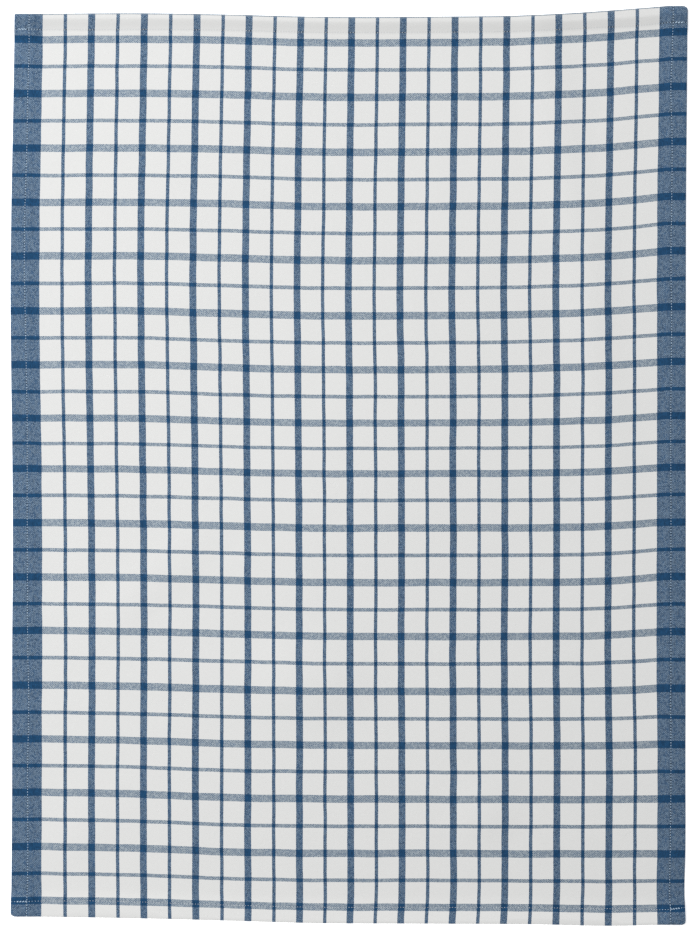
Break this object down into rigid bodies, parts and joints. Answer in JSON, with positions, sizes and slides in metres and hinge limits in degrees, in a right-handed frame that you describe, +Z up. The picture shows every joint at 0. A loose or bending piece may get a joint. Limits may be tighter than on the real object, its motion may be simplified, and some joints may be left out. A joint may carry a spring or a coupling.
{
  "type": "tea towel",
  "caption": "Rectangular cotton tea towel laid flat, white with a blue check and blue side bands, hemmed on all edges.",
  "frame": {"origin": "middle of the footprint, on the surface that the towel lies on", "axes": "+X to the right of the laid towel, +Y to its top edge, +Z up out of its face"},
  "size_m": [0.5026, 0.6824, 0.003],
  "materials": {
    "woven_cotton": "matt plain-woven cotton, white ground with yarn-dyed blue lines"
  },
  "bodies": {
    "root": {"tea_towel": "woven_cotton"}
  },
  "joints": []
}
